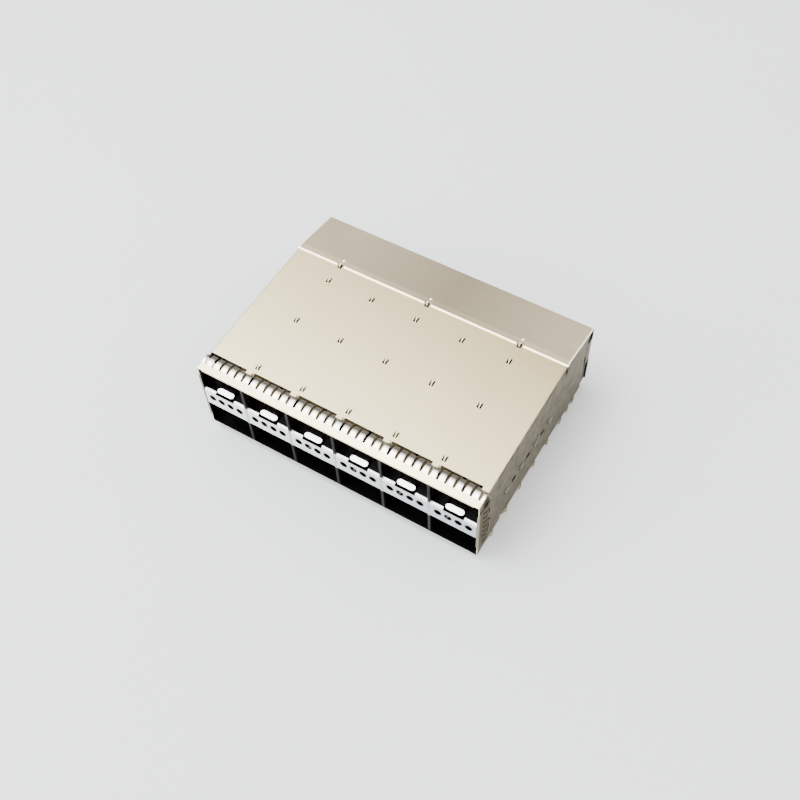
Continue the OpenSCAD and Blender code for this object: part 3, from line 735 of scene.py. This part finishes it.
def rolled_band(tree):
    """The plain band leans forward a little where it was rolled over the edge."""
    return ramp(tree, place_xyz(tree)[1], 0.0, BAND_DEPTH, 0.0, BAND_LEAN * BAND_DEPTH)


spring_top = plated_sheet("polished spring sheet", "X", SPRING_DULL, SPRING_BRIGHT, BURNISH_AND_HIGHLIGHT,
                          rough=POLISHED, relief=0.15,
                          zones=[(plain_band_mask, BAND_CREAM), (slit_shade_mask, SHADE_BROWN),
                                 (dive_shade_mask, SHADE_BROWN)],
                          crown=rolled_band)
dress(spring_top, "spring_strip_top")
print("finger pitch", round(FINGER_PITCH / MM, 3), "mm, crest at", round(CREST / MM, 2), "mm")

# %% [markdown]
# ## Lower and side strips, and clips
# The strips on the sides are painted duller and darker than the upper one, as painted shade, with a
# paler nose where they fold round the front edge towards the light. The clips on the dividers are
# painted dark too, as painted shade, except between the ports, where a clip is painted as bright as
# the faces on either side. Every surface that looks into a port is painted into the dark inside of
# the cage: upward faces on the lower strip, inward faces on the side strips.

# %% Dress the other springs
LOW_DULL, LOW_BRIGHT = (0.80, 0.79, 0.76), (0.90, 0.89, 0.86)
# Painted shade: the side strips' colours are dark, and their noses are painted lighter.
STRIP_SHADED_DULL, STRIP_SHADED_BRIGHT, STRIP_EDGE = (0.065, 0.058, 0.043), (0.090, 0.080, 0.060), (0.16, 0.14, 0.11)
NOSE_LIT_TINT, STRIP_GLANCE = (0.30, 0.27, 0.22), (0.66, 0.63, 0.56)
# Painted shade: the clips are dark in the ports and painted bright between them.
CLIP_SHADED_DULL, CLIP_SHADED_BRIGHT, CLIP_EDGE = (0.045, 0.044, 0.041), (0.075, 0.073, 0.069), (0.14, 0.14, 0.135)
BETWEEN_PORTS_LIT_TINT, CLIP_GLANCE = (0.70, 0.71, 0.71), (0.4, 0.4, 0.4)
BAND_FOOT = 9.2 * MM


def nose_lit_mask(tree):
    return fall(tree, place_xyz(tree)[1], 0.35 * MM, 0.55 * MM)


def between_ports_lit_mask(tree):
    z = place_xyz(tree)[2]
    return both(tree, ramp(tree, z, BAND_FOOT - 0.1 * MM, BAND_FOOT + 0.1 * MM),
                fall(tree, z, PORT_FLOOR - 0.1 * MM, PORT_FLOOR + 0.1 * MM))


# Painted shade: faces that look into a port are tinted near-black.
def faces_up_shade_mask(tree):
    return over(tree, facing(tree, "Z"), 0.1)


def faces_in_shade_mask(tree):
    """On a side strip, the faces that look towards the middle of the cage, painted into the shade."""
    side = calc(tree, "SIGN", place_xyz(tree)[0])
    return under(tree, calc(tree, "MULTIPLY", facing(tree, "X"), side), -0.1)


spring_low = plated_sheet("lower spring sheet", "X", LOW_DULL, LOW_BRIGHT, BURNISH_AND_HIGHLIGHT, rough=POLISHED,
                          relief=0.15, front=IN_FRONT, zones=[(faces_up_shade_mask, DEEP_SHADE)])
spring_side = plated_sheet("side spring sheet", "Z", STRIP_SHADED_DULL, STRIP_SHADED_BRIGHT, STRIP_EDGE,
                           rough=(0.32, 0.48), relief=0.2,
                           zones=[(nose_lit_mask, NOSE_LIT_TINT), (faces_in_shade_mask, DEEP_SHADE)],
                           glance=STRIP_GLANCE)
clip_sheet = plated_sheet("clip spring sheet", "Z", CLIP_SHADED_DULL, CLIP_SHADED_BRIGHT, CLIP_EDGE, rough=(0.3, 0.45),
                          relief=0.15, zones=[(between_ports_lit_mask, BETWEEN_PORTS_LIT_TINT)], glance=CLIP_GLANCE)
dress(spring_low, "spring_strip_bottom")
dress(spring_side, "spring_strip_left", "spring_strip_right")
dress(clip_sheet, *named("divider_clip_"))
print("spring strips:", len(named("spring_strip_")), "clips:", len(named("divider_clip_")))

# %% [markdown]
# ## Moulded plastic
# The connector housings are black glass-filled plastic. The melt leaves faint flat clouds in the
# mould, which vary the gloss, and the glass fibres leave tiny pits. So one noise drives the colour,
# a flattened one the roughness, and a very fine one the height of a bump. The plastic reflects
# little, so that the ends of the ports stay black.

# %% Make the plastic
PLASTIC_DARK, PLASTIC_LIGHT = (0.010, 0.010, 0.012), (0.026, 0.026, 0.029)
PIT_DEPTH = 0.03 * MM

plastic, tree, shader = blank_material("moulded plastic")
grain = noise(tree, stretched(tree), 900.0, detail=4.0, rough=0.6)
flow = noise(tree, stretched(tree, (1, 1, 3)), 140.0)
tree.links.new(mix_tint(tree, grain, PLASTIC_DARK, PLASTIC_LIGHT), shader.inputs["Base Color"])
tree.links.new(ramp(tree, flow, 0.3, 0.7, 0.42, 0.62), shader.inputs["Roughness"])
set_input(shader, "Specular IOR Level", 0.15)
pits = add(tree, "ShaderNodeBump")
set_input(pits, "Strength", 0.3)
set_input(pits, "Distance", PIT_DEPTH)
tree.links.new(noise(tree, stretched(tree), 4200.0, detail=2.0, rough=0.6), pits.inputs["Height"])
tree.links.new(pits.outputs["Normal"], shader.inputs["Normal"])
dress(plastic, *named("connector_housing_"))
print("housings:", len(named("connector_housing_")))

# %% [markdown]
# ## Gold contacts and the floor
# The contacts are gold over nickel, a little redder and glossier where the gold is thin. One noise
# stands for the thickness and drives both. The floor is plain matt paper with a slow, very weak
# drift of tint, so that the shadow stays soft and even.

# %% Make gold and paper
GOLD_THIN, GOLD_THICK = (0.75, 0.55, 0.28), (0.92, 0.76, 0.42)
PAPER_DULL, PAPER_BRIGHT = (0.60, 0.635, 0.68), (0.62, 0.655, 0.70)

gold, tree, shader = blank_material("contact gold")
set_input(shader, "Metallic", 1.0)
thickness = noise(tree, stretched(tree), 420.0)
tree.links.new(mix_tint(tree, thickness, GOLD_THIN, GOLD_THICK), shader.inputs["Base Color"])
tree.links.new(ramp(tree, thickness, 0.3, 0.7, 0.18, 0.32), shader.inputs["Roughness"])
dress(gold, *named("contacts_"))

paper, tree, shader = blank_material("pale floor")
fleck = noise(tree, stretched(tree), 12.0)
tree.links.new(mix_tint(tree, fleck, PAPER_DULL, PAPER_BRIGHT), shader.inputs["Base Color"])
set_input(shader, "Roughness", 0.9)
floor.data.materials.append(paper)
print("materials:", len(bpy.data.materials))
